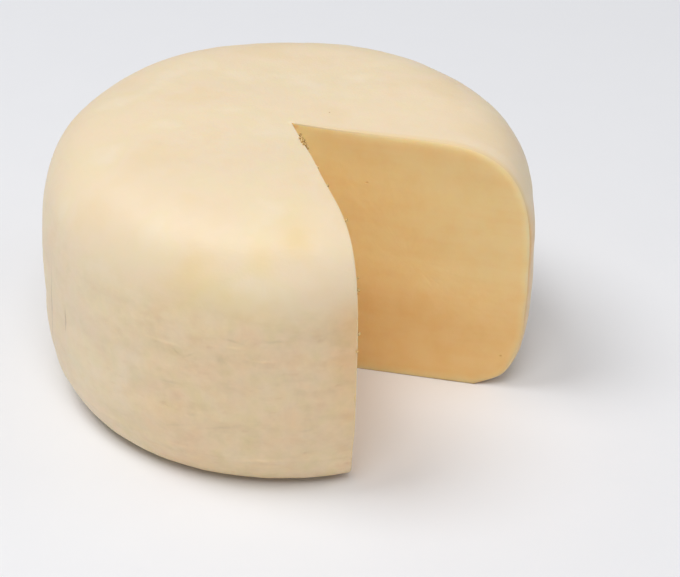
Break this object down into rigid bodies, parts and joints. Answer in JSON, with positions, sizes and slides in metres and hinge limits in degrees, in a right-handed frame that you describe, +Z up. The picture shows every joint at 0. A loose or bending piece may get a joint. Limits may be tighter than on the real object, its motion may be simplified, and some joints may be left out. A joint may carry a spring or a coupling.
{
  "type": "cheddar cheese wheel",
  "caption": "Wheel of cheddar with rounded shoulders and a smooth cream rind, standing on its flat underside, with a wedge cut out of it so that the pale yellow paste shows.",
  "frame": {"origin": "on the wheel's axis, at the level of the flat underside", "axes": "+Z up along the wheel's axis; +X to the right and +Y away as in the picture; the cut-out wedge faces +X and -Y"},
  "size_m": [0.2698, 0.2705, 0.1522],
  "materials": {
    "cheddar": "smooth, faintly waxy cream rind with a satin sheen; the cut faces are a warmer, matt yellow paste"
  },
  "bodies": {
    "root": {"cheddar_wheel": "cheddar"}
  },
  "joints": []
}
